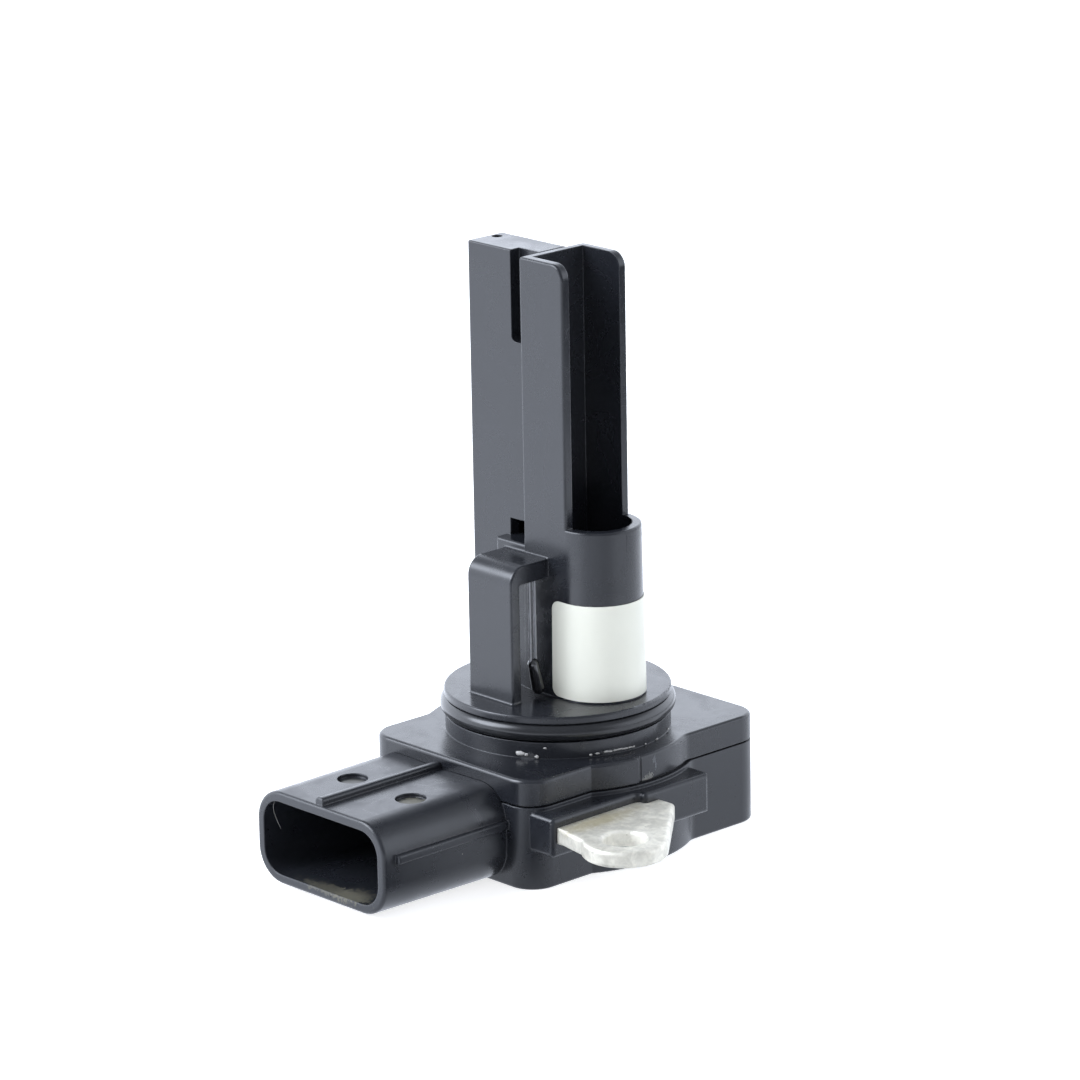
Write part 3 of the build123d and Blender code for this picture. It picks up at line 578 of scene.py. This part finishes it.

# %% [markdown]
# The probe is a little glossier and bluer than the housing. It has crumbs and streaks beside a hairline
# slit in its flange layer, whose line is painted black as painted shade, and two faint smudges on the
# disc. The housing has beige laid in its two round dimples and on the lip of the socket: partly dried
# dirt, partly painted light on the near dimple's floor and a painted highlight along the socket's lower
# lip. The bottom cover is plainer and duller.

# %% The three black plastics
PROBE_BLACK = (0.0115, 0.0125, 0.0155)
HOUSING_BLACK = (0.0125, 0.0137, 0.0170)
SCUFF_GREY = (0.11, 0.11, 0.11)
CRUMB_GREY = (0.21, 0.205, 0.185)
STREAK_GREY = (0.10, 0.105, 0.115)
# Dried dirt that is also a painted highlight in the dimples and on the socket's lip.
DIRT_AND_SHEEN_BEIGE = (0.17, 0.16, 0.115)
PROBE_MARKS = [
    ((-1.1, -17.6, -3.4), (0.55, 0.4, 0.55), CRUMB_GREY, 0.85, 1.9),
    ((-0.4, -17.6, -3.1), (0.5, 0.4, 0.55), CRUMB_GREY, 0.75, 1.9),
    ((0.65, -17.6, -1.9), (0.16, 0.4, 0.7), STREAK_GREY, 0.8, 1.7),
    ((0.4, -17.6, -1.0), (0.3, 0.4, 0.45), STREAK_GREY, 0.7, 1.8),
    ((-12.6, -7.8, 0.3), (1.6, 1.2, 0.5), SCUFF_GREY, 0.35, 1.0),
    ((-4.0, -14.3, 0.4), (3.6, 0.9, 0.35), SCUFF_GREY, 0.3, 1.0),
]
# The slit is a thin line painted black: painted shade in a hairline step of the flange layer.
PROBE_SHADED_SLIT = [((-1.93, -17.5, -1.75), (0.11, 0.5, 2.0))]
# Beige in the two dimples and on the socket's lower lip: partly dried dirt, partly painted highlight.
HOUSING_DIRT_AND_SHEEN_MARKS = [
    ((-30.3, -4.8, -2.4), (2.0, 2.0, 0.5), DIRT_AND_SHEEN_BEIGE, 0.55, 0.9),
    ((-30.3, 6.4, -2.4), (1.7, 1.7, 0.5), DIRT_AND_SHEEN_BEIGE, 0.2, 0.9),
    ((-39.4, -0.5, -12.9), (1.4, 6.5, 0.8), DIRT_AND_SHEEN_BEIGE, 0.4, 1.7),
    ((-39.0, -3.2, -12.9), (2.3, 3.0, 0.8), DIRT_AND_SHEEN_BEIGE, 0.4, 1.8),
]
probe_plastic = black_plastic("probe_plastic", PROBE_BLACK, roughness=0.25, radius=0.2, dust=0.02,
                              crumb=0.18, marks=PROBE_MARKS, shaded_grooves=PROBE_SHADED_SLIT)
housing_plastic = black_plastic("housing_plastic", HOUSING_BLACK, roughness=0.3, radius=0.3, dust=0.04,
                                crumb=0.5, marks=HOUSING_DIRT_AND_SHEEN_MARKS)
cover_plastic = black_plastic("cover_plastic", HOUSING_BLACK, roughness=0.40, radius=0.2, dust=0.03)
print("black plastics:", probe_plastic.name, housing_plastic.name, cover_plastic.name)

# %% [markdown]
# ## Plain finishes
# The sticker, the rubber, the adhesive, the bead and its leads, and the parts inside the base are
# small or hidden. Each needs its own colour and gloss, but none needs a recipe of its own. So one
# recipe makes them all: a colour and a gloss that drift a little, soft edges and a light grain.

# %% Plain finish
PLAIN_GRAIN_SIZE = 0.00012
PLAIN_FADE, PLAIN_GLOSS_SWING = (0.25, 0.75), 0.2


def plain_finish(name, colour, roughness, metallic=0.0, coat=0.0, radius=0.15, swing=0.15, cloud=0.002):
    """A finish whose colour goes up and down by the share swing, and whose roughness by a fifth."""
    material, tree, shader = new_material(name)
    edges = use_group(tree, soft_edges, {"Radius": radius * MM})
    grain = use_group(tree, moulded_grain, {"Cloud size": cloud, "Grain size": PLAIN_GRAIN_SIZE})
    shade = blend_colours(tree, grain["Tone"], hold_colour([part * (1 - swing) for part in colour]),
                          hold_colour([min(1.0, part * (1 + swing)) for part in colour]))
    rough = fade(tree, grain["Gloss"], *PLAIN_FADE, roughness * (1 - PLAIN_GLOSS_SWING),
                 roughness * (1 + PLAIN_GLOSS_SWING))
    feed(tree, shader.inputs["Base Color"], shade)
    feed(tree, shader.inputs["Roughness"], rough)
    shader.inputs["Metallic"].default_value = metallic
    shader.inputs["Coat Weight"].default_value = coat
    normal = relief(tree, grain["Height"], GRAIN_STRENGTH, GRAIN_DEPTH, edges["Normal"])
    feed(tree, shader.inputs["Normal"], normal)
    return material


print("recipe for plain finishes ready")

# %% [markdown]
# ## The zinc plate
# The mounting plate is steel with a dull zinc coat, and it has been in a damp engine bay. Clean
# metal would mirror the studio and look black and white. The real one is chalky: crystal patches,
# cloudy tone, white bloom round the near hole, a brown stain along the housing and fine pits.
# It is built up in that order, one layer over the other, and only half metallic.

# %% Zinc plate
ZINC_DARK, ZINC_PALE = (0.58, 0.555, 0.475), (0.85, 0.82, 0.715)
ZINC_LAYERS = (
    ((0.42, 0.41, 0.36), 0.2),  # crystal patches
    ((0.84, 0.82, 0.74), 0.6),  # white bloom
    ((0.36, 0.31, 0.17), 0.75),  # brown stain
    ((0.22, 0.21, 0.17), 0.6),  # pits
    ((0.90, 0.87, 0.78), 0.5),  # rubbed edges
)
ZINC_EDGE_RADIUS = 0.45
ZINC_GRAIN = {"Cloud size": 0.0016, "Grain size": 0.00022}
ZINC_PITS = {"Cell": 0.0009, "Radius": 0.00008, "Share": 0.2}
CRYSTALS_PER_METRE = 1400.0
BLOOM = ((-14.6, -27.5, -5.8), (4.8, 4.6, 2.0), 0.7, 1.0, 0.8)
STAIN = ((-12.5, -20.3, -5.5), (10.5, 2.6, 1.2), 0.8, 0.9, 0.95)
ZINC_TONE_FADE, ZINC_GLOSS_FADE = (0.3, 0.7), (0.25, 0.75)
ZINC_ROUGHNESS, BLOOM_ROUGHER = (0.3, 0.5), 0.12
ZINC_METALLIC = (0.45, 0.3)
TONE_RELIEF, PIT_RELIEF = 0.9, -0.5
ZINC_BUMP_STRENGTH, ZINC_BUMP_DEPTH = 0.7, 0.00016


def zinc_plate(name):
    """Dull zinc on steel: layers of (colour, strength), each laid where its mask is. The relief is
    the cloudy tone and the pits, each times its own share."""
    material, tree, shader = new_material(name)
    place = add_node(tree, "TexCoord").outputs["Object"]
    edges = use_group(tree, soft_edges, {"Radius": ZINC_EDGE_RADIUS * MM})
    grain = use_group(tree, moulded_grain, ZINC_GRAIN)
    crystals = add_node(tree, "TexVoronoi", {"Vector": place, "Scale": CRYSTALS_PER_METRE})
    patch = add_node(tree, "SeparateColor", {"Color": crystals.outputs["Color"]}).outputs["Red"]
    bloom, stain = place_mark(tree, *BLOOM), place_mark(tree, *STAIN)
    pits = use_group(tree, specks, ZINC_PITS)["Mask"]
    shade = blend_colours(tree, fade(tree, grain["Tone"], *ZINC_TONE_FADE), hold_colour(ZINC_DARK),
                          hold_colour(ZINC_PALE))
    for mask, (colour, strength) in zip((patch, bloom, stain, pits, edges["Edge"]), ZINC_LAYERS):
        shade = lay_over(tree, shade, mask, strength, colour)
    rough = fade(tree, grain["Gloss"], *ZINC_GLOSS_FADE, *ZINC_ROUGHNESS)
    rough = maths(tree, "ADD", rough, times(tree, bloom, BLOOM_ROUGHER))
    metallic = fade(tree, maths(tree, "ADD", bloom, stain), 0.0, 1.0, *ZINC_METALLIC)
    height = maths(tree, "ADD", times(tree, grain["Tone"], TONE_RELIEF), times(tree, pits, PIT_RELIEF))
    feed(tree, shader.inputs["Base Color"], shade)
    feed(tree, shader.inputs["Roughness"], rough)
    feed(tree, shader.inputs["Metallic"], metallic)
    normal = relief(tree, height, ZINC_BUMP_STRENGTH, ZINC_BUMP_DEPTH, edges["Normal"])
    feed(tree, shader.inputs["Normal"], normal)
    return material


plated_steel = zinc_plate("plated_steel")
print("zinc:", len(plated_steel.node_tree.nodes), "nodes")

# %% [markdown]
# ## A finish for every part
# The rubber ring is smoother and shinier than the plastic, the adhesive in the seam is dull, and
# the bead has a thin clear coat over black epoxy. The sticker is warm white paper with almost no
# drift. The circuit's parts are never seen in the photograph, but they get true colours too. A
# table pairs each CAD node with its finish, which is easier to check than calls spread about.

# %% Dress the nodes
FINISHES = {
    "probe_plastic": probe_plastic,
    "housing_plastic": housing_plastic,
    "cover_plastic": cover_plastic,
    "plated_steel": plated_steel,
    "adhesive": plain_finish("adhesive", (0.006, 0.006, 0.007), 0.55),
    "seal_rubber": plain_finish("seal_rubber", (0.012, 0.0125, 0.014), 0.22, radius=0.05),
    "tinned_contact": plain_finish("tinned_contact", (0.72, 0.71, 0.68), 0.3, metallic=1.0),
    "lead_wire": plain_finish("lead_wire", (0.26, 0.26, 0.27), 0.42, metallic=1.0, radius=0.03),
    "bead_coat": plain_finish("bead_coat", (0.008, 0.008, 0.009), 0.12, coat=1.0),
    "board": plain_finish("board", (0.02, 0.16, 0.05), 0.4),
    "chip_case": plain_finish("chip_case", (0.02, 0.02, 0.022), 0.5),
    "capacitor_body": plain_finish("capacitor_body", (0.42, 0.3, 0.18), 0.35),
    "resistor_body": plain_finish("resistor_body", (0.03, 0.03, 0.035), 0.35),
    "bond_ribbon": plain_finish("bond_ribbon", (0.75, 0.76, 0.78), 0.25, metallic=1.0, radius=0.03),
    "gel": plain_finish("gel", (0.5, 0.42, 0.28), 0.1),
    "carrier": plain_finish("carrier", (0.03, 0.03, 0.034), 0.4),
    "element": plain_finish("element", (0.18, 0.2, 0.26), 0.2),
    "sticker": plain_finish("sticker", (0.735, 0.73, 0.63), 0.45, radius=0.05, swing=0.02, cloud=0.006),
}
NODE_FINISH = {
    "connector_housing": "housing_plastic", "probe_body": "probe_plastic",
    "bypass_cover": "probe_plastic", "housing_cover": "cover_plastic",
    "flange_seal": "adhesive", "cover_seal": "adhesive",
    "plug_o_ring": "seal_rubber", "mounting_plate": "plated_steel",
    "circuit_board": "board", "control_chip": "chip_case",
    "chip_capacitors": "capacitor_body", "chip_resistors": "resistor_body",
    "bond_ribbons": "bond_ribbon", "gel_fill": "gel",
    "element_carrier": "carrier", "flow_element": "element",
    "thermistor_bead": "bead_coat", "label": "sticker",
    "terminal": "tinned_contact", "thermistor_lead": "lead_wire", "thermistor_pin": "tinned_contact",
}


def dress_nodes():
    """Give each CAD node the finish of its kind; numbered nodes share one name."""
    dressed = 0
    for name, piece in nodes.items():
        kind = name if name in NODE_FINISH else name.rsplit("_", 1)[0]
        for place in piece.material_slots:
            place.material = FINISHES[NODE_FINISH[kind]]
            dressed += 1
    return dressed


print("material slots dressed:", dress_nodes(), "of", len(nodes), "nodes")

# %% [markdown]
# ## The connector's top rib
# The real rib is a low ridge with a round crest, and the CAD has a plain square one. A new rib
# laid over the old one would leave the old one showing. So a copy of the housing is merged into
# one skin, and only the rib's points are moved: each stretch of its width and height gets a new
# length. The corner normals turn with the same stretch, so the shading stays clean. The copy then
# stands in for the CAD node. All lengths here are in millimetres.

# %% Reading and stretching the housing
MERGE_DECIMALS = 4


def stretch(values, old, new):
    """Piecewise straight map from old lengths to new ones, and its slope at each value."""
    old, new = np.array(old), np.array(new)
    piece = np.clip(np.searchsorted(old, values) - 1, 0, len(old) - 2)
    slope = np.diff(new)[piece] / np.diff(old)[piece]
    return np.interp(values, old, new), slope


def housing_arrays(node):
    """The node's corners, triangles and corner normals, with equal corners merged into one."""
    mesh = node.data
    points = np.empty(len(mesh.vertices) * 3)
    mesh.vertices.foreach_get("co", points)
    corners = np.empty(len(mesh.loops), np.int32)
    mesh.loops.foreach_get("vertex_index", corners)
    normals = np.empty(len(mesh.loops) * 3)
    mesh.corner_normals.foreach_get("vector", normals)
    points, normals = points.reshape(-1, 3) / MM, normals.reshape(-1, 3)
    kept, index = np.unique(np.round(points, MERGE_DECIMALS), axis=0, return_inverse=True)
    return kept, index.reshape(-1)[corners].reshape(-1, 3), normals.reshape(-1, 3, 3)


points, triangles, normals = housing_arrays(nodes["connector_housing"])
print("housing:", len(points), "points,", len(triangles), "triangles")

# %% Housing with a rounded rib
RIB_FOOT_Y, RIB_FOOT_Z = 1.2, -1.85
RIB_WIDTHS = ((0.0, 0.3, 2.2, 2.5), (0.0, 0.55, 0.8, 1.35))
RIB_HEIGHTS = ((0.0, 1.15, 1.45), (0.0, 0.5, 0.95))
RIB_FREE_X, RIB_ROOT_X = -40.6, -18.5
RIB_CEILING_Z = -0.3
TOUCH = 0.02
SMALLEST_AREA = 1e-9


def in_rib(x, y, z):
    """True for places on the rib: past its foot, between its sides and above the shroud's top."""
    return ((x > RIB_FREE_X) & (x < RIB_ROOT_X) & (y > RIB_FOOT_Y - TOUCH)
            & (y < RIB_FOOT_Y + RIB_WIDTHS[0][-1] + TOUCH) & (z > RIB_FOOT_Z - TOUCH)
            & (z < RIB_CEILING_Z))


def round_rib(points, triangles, normals):
    """Move the rib's points by the stretch, and divide their normals by its slope, which is how
    normals turn when a surface is stretched. Triangles that fall flat are left out."""
    chosen = in_rib(*points.T)
    middle = points[triangles].mean(axis=1)
    on_rib = chosen[triangles].all(axis=1)
    slope_y = stretch(middle[:, 1] - RIB_FOOT_Y, *RIB_WIDTHS)[1]
    slope_z = stretch(middle[:, 2] - RIB_FOOT_Z, *RIB_HEIGHTS)[1]
    turned = normals / np.stack([np.ones_like(slope_y), slope_y, slope_z], -1)[:, None]
    turned /= np.linalg.norm(turned, axis=-1, keepdims=True)
    normals = np.where(on_rib[:, None, None], turned, normals)
    points = points.copy()
    points[chosen, 1] = RIB_FOOT_Y + stretch(points[chosen, 1] - RIB_FOOT_Y, *RIB_WIDTHS)[0]
    points[chosen, 2] = RIB_FOOT_Z + stretch(points[chosen, 2] - RIB_FOOT_Z, *RIB_HEIGHTS)[0]
    first, second, third = (points[triangles[:, k]] for k in range(3))
    whole = np.linalg.norm(np.cross(second - first, third - first), axis=1) > SMALLEST_AREA
    print("rib points moved:", int(chosen.sum()), "and triangles turned:", int(on_rib.sum()))
    return points, triangles[whole], normals[whole]


def connector_piece(points, triangles, normals):
    """The reshaped housing as a mesh that keeps its own corner normals and replaces the node."""
    mesh = bpy.data.meshes.new("connector_shell")
    mesh.from_pydata((points * MM).tolist(), [], triangles.tolist())
    mesh.polygons.foreach_set("use_smooth", [True] * len(mesh.polygons))
    mesh.normals_split_custom_set(normals.reshape(-1, 3).tolist())
    mesh.materials.append(housing_plastic)
    piece = bpy.data.objects.new("connector_shell", mesh)
    bpy.context.scene.collection.objects.link(piece)
    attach(piece, "root")
    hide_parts("connector_housing")
    return piece


connector_shell = connector_piece(*round_rib(points, triangles, normals))
print("connector shell:", len(connector_shell.data.polygons), "triangles")

# %% [markdown]
# ## Fine lines and dirt as geometry
# A few small things on the real part stand proud of its surface: the mould's parting line on
# the cup, chips of grit in the corner round the plug, and a hair caught on the socket's rim. A
# bump can't throw a shadow or break an outline, so these are real surfaces. Each is worked out on
# a grid: a tube along a path, or a lumpy closed pebble. The grid's ends are closed by small faces.

# %% Surfaces on a grid
TUBE_SIDEWAYS = (0.3, 0.5, 0.81)


def put_mesh(name, points, blocks, material):
    """Make a smooth mesh object at the origin from blocks of faces, and let it ride on the sensor."""
    mesh = bpy.data.meshes.new(name)
    faces = [face for block in blocks for face in block.tolist()]
    mesh.from_pydata(points.reshape(-1, 3).tolist(), [], faces)
    mesh.polygons.foreach_set("use_smooth", [True] * len(mesh.polygons))
    mesh.materials.append(material)
    piece = bpy.data.objects.new(name, mesh)
    bpy.context.scene.collection.objects.link(piece)
    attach(piece, "root")
    return piece


def closed_faces(rings, sides, copies=1):
    """Quads between each ring of points and the next, and one small flat face to close each end."""
    row = np.arange(rings - 1)[:, None] * sides
    side = np.arange(sides)[None, :]
    after = (side + 1) % sides
    quads = np.stack([row + side, row + after, row + sides + after, row + sides + side], -1)
    ends = np.stack([np.arange(sides)[::-1], (rings - 1) * sides + np.arange(sides)])
    start = np.arange(copies)[:, None, None] * rings * sides
    return (start + quads.reshape(-1, 4)).reshape(-1, 4), (start + ends).reshape(-1, sides)


def tube(path, radii, sides=8):
    """A tube: point = path + radius * (cos(turn) * aside + sin(turn) * other), where aside and
    other are square to the path and to each other."""
    path = np.asarray(path, float)
    along = np.gradient(path, axis=0)
    along /= np.linalg.norm(along, axis=1, keepdims=True)
    aside = np.cross(along, TUBE_SIDEWAYS)
    aside /= np.linalg.norm(aside, axis=1, keepdims=True)
    other = np.cross(along, aside)
    turn = np.linspace(0.0, 2.0 * np.pi, sides, endpoint=False)[None, :, None]
    circle = np.cos(turn) * aside[:, None] + np.sin(turn) * other[:, None]
    return path[:, None] + np.asarray(radii)[:, None, None] * circle


def smooth_path(corners, count):
    """A smooth line through three points: a parabola in each coordinate."""
    first, middle, last = np.asarray(corners, float)
    t = np.linspace(0.0, 1.0, count)[:, None]
    return first * (1 - t) * (1 - 2 * t) + middle * 4 * t * (1 - t) + last * t * (2 * t - 1)


print("faces of a tube with 3 rings:", sum(len(block) for block in closed_faces(3, 8)))

# %% [markdown]
# The parting line is where the two halves of the mould met on the cup: a straight bead a tenth of
# a millimetre high. The hair is a bent thread on the rim of the socket. Both are thin tubes whose
# ends narrow to almost nothing, so that they don't stop like a cut wire.

# %% Parting line and hair
PARTING_FOOT, PARTING_TOP = (1.2, -12.13, 18.9), (1.2, -12.13, 28.1)
PARTING_RADIUS, PARTING_RINGS = 0.07, 24
HAIR_POINTS = ((-40.42, 10.0, -3.2), (-40.5, 10.1, -4.6), (-40.38, 8.9, -6.7))
HAIR_RADIUS, HAIR_RINGS = 0.024, 28
END_POWER = 8
END_SHARE = 0.0004


def line_piece(name, path, radius, material):
    """A thin tube. With s from -1 to 1 along it, its radius is radius * sqrt(1 - s ** 8)."""
    share = np.linspace(0.0, 1.0, len(path))
    radii = radius * np.sqrt(np.clip(1.0 - (2.0 * share - 1.0) ** END_POWER, END_SHARE, 1.0))
    points = tube(path, radii) * MM
    return put_mesh(name, points, closed_faces(len(path), points.shape[1]), material)


parting_line = line_piece("cup_parting_line", np.linspace(PARTING_FOOT, PARTING_TOP, PARTING_RINGS),
                          PARTING_RADIUS, probe_plastic)
hair_finish = plain_finish("hair", (0.22, 0.21, 0.19), 0.5, radius=0.02)
hair = line_piece("caught_hair", smooth_path(HAIR_POINTS, HAIR_RINGS), HAIR_RADIUS, hair_finish)
print("parting line and hair:", len(parting_line.data.vertices), len(hair.data.vertices))

# %% [markdown]
# Grit has packed into the corner between the plug and the base. Scattered specks of noise would look like
# dust. Here each chip is placed one by one along the wall, as an angle round the plug, a height, a half
# length and a half height. One grid of lumpy pebbles makes them all at once.

# %% Grit in the plug's corner
GRIT_RADIUS = 14.86
GRIT_HALF_DEPTH = 0.09
GRIT = ((-62.5, 0.62, 0.62, 0.3), (-59.5, 0.5, 0.26, 0.2), (-54.0, 0.3, 0.26, 0.22),
        (-50.0, 1.5, 0.2, 0.12), (-27.0, 0.35, 0.2, 0.14), (-23.5, 0.42, 0.3, 0.12),
        (-19.0, 0.5, 0.34, 0.13), (-17.0, 0.45, 0.5, 0.11), (-14.0, 0.48, 0.3, 0.1),
        (-11.5, 0.5, 0.55, 0.1), (-8.0, 0.42, 0.5, 0.11), (-5.2, 0.4, 0.35, 0.1),
        (-2.6, 0.36, 0.3, 0.1), (6.0, 0.2, 0.16, 0.1), (16.0, 0.1, 0.3, 0.12), (31.0, 0.3, 0.2, 0.1))
POLE_GAP = 0.02
PEBBLE_STEP = 2.39
WAVE_ROUND, WAVE_SLANTED = 0.22, 0.18


def grit_points(rings=7, sides=10):
    """Lumpy pebbles: a sphere's grid of an angle up and an angle around, times 1 + two low waves,
    then stretched along, up and out of the plug's wall. The angle around runs backwards, which
    makes the faces point outwards."""
    place, height, half_length, half_height = np.array(GRIT).T[:, :, None, None]
    turn = np.radians(place)
    top = 0.5 * np.pi - POLE_GAP
    up = np.linspace(-top, top, rings)[None, :, None]
    around = np.linspace(0.0, -2.0 * np.pi, sides, endpoint=False)[None, None, :]
    seed = np.arange(len(GRIT))[:, None, None] * PEBBLE_STEP
    lump = 1.0 + WAVE_ROUND * np.sin(3 * around + seed) * np.cos(up) \
        + WAVE_SLANTED * np.sin(2 * around + 4 * up + 1.7 * seed)
    wide = half_length * lump * np.cos(up) * np.cos(around)
    high = half_height * lump * np.sin(up)
    radius = GRIT_RADIUS + GRIT_HALF_DEPTH * lump * np.cos(up) * np.sin(around)
    x = radius * np.sin(turn) + wide * np.cos(turn)
    y = -radius * np.cos(turn) + wide * np.sin(turn)
    return np.stack([x, y, height + high], -1) * MM


def make_grit():
    """All the chips as one piece, in a pale mineral grey."""
    points = grit_points()
    count, rings, sides = points.shape[:3]
    finish = plain_finish("grit", (0.42, 0.41, 0.39), 0.7, radius=0.03, swing=0.3, cloud=0.0004)
    return put_mesh("plug_grit", points, closed_faces(rings, sides, count), finish)


grit = make_grit()
print("grit:", len(grit.data.polygons), "faces")

# %% [markdown]
# ## Finish
# The Standard view shows each colour as it was written.

# %% Finish
bpy.context.scene.view_settings.view_transform = "Standard"
